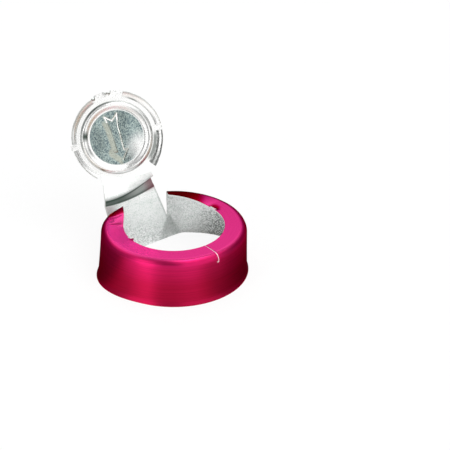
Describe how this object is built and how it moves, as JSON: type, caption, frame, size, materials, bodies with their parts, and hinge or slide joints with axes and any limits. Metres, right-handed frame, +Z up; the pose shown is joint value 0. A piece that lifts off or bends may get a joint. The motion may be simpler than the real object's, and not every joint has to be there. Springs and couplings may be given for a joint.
{
  "type": "torn aluminium vial seal",
  "caption": "Round tear-off crimp seal of thin sheet, torn open, with its lifted strip and round panel standing up behind the ring.",
  "frame": {"origin": "centre of the skirt's bottom rim, on the plane it stands on", "axes": "+Z up out of the top flange; +Y towards the torn strip that carries the panel; +X to the right seen from the front"},
  "size_m": [0.0227, 0.0283, 0.0215],
  "materials": {
    "seal_sheet": "red-lacquered satin outside, bare bright sheet inside"
  },
  "bodies": {
    "root": {"vial_seal": "seal_sheet"}
  },
  "joints": []
}
